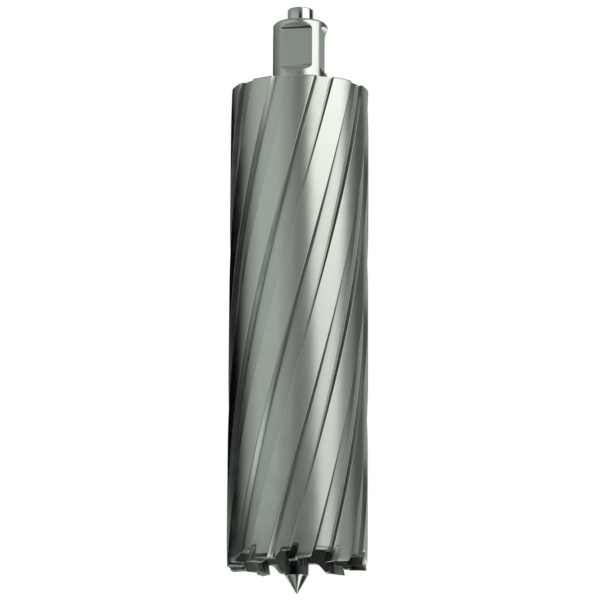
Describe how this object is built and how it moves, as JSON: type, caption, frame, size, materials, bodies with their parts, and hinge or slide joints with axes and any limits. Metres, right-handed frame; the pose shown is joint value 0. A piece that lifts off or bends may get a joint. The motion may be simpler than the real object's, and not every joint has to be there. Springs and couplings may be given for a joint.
{
  "type": "annular cutter",
  "caption": "Deep hollow cutter with helical flutes, carbide-tipped teeth, a flatted side-lock shank and a sliding pilot pin, for cutting large holes in metal.",
  "frame": {"origin": "centre of the shoulder, where the shank meets the barrel", "axes": "+Z along the axis towards the shank's end; -Y the way the first shank flat faces, +X the way the second faces"},
  "size_m": [0.048, 0.0482, 0.206],
  "materials": {
    "tool_steel": "fine ground, satin",
    "pin_steel": "centreless ground, polished",
    "carbide": "diamond ground"
  },
  "bodies": {
    "cutter": {"cutter_body": "tool_steel", "carbide_tip_01": "carbide", "carbide_tip_02": "carbide", "carbide_tip_03": "carbide", "carbide_tip_04": "carbide", "carbide_tip_05": "carbide", "carbide_tip_06": "carbide", "carbide_tip_07": "carbide", "carbide_tip_08": "carbide", "carbide_tip_09": "carbide", "carbide_tip_10": "carbide"},
    "pilot": {"pilot_pin": "pin_steel"}
  },
  "joints": [
    {"name": "pilot_slide", "type": "slide", "parent": "cutter", "child": "pilot", "axis": [0, 0, 1], "range_m": [0, 0.15]}
  ]
}
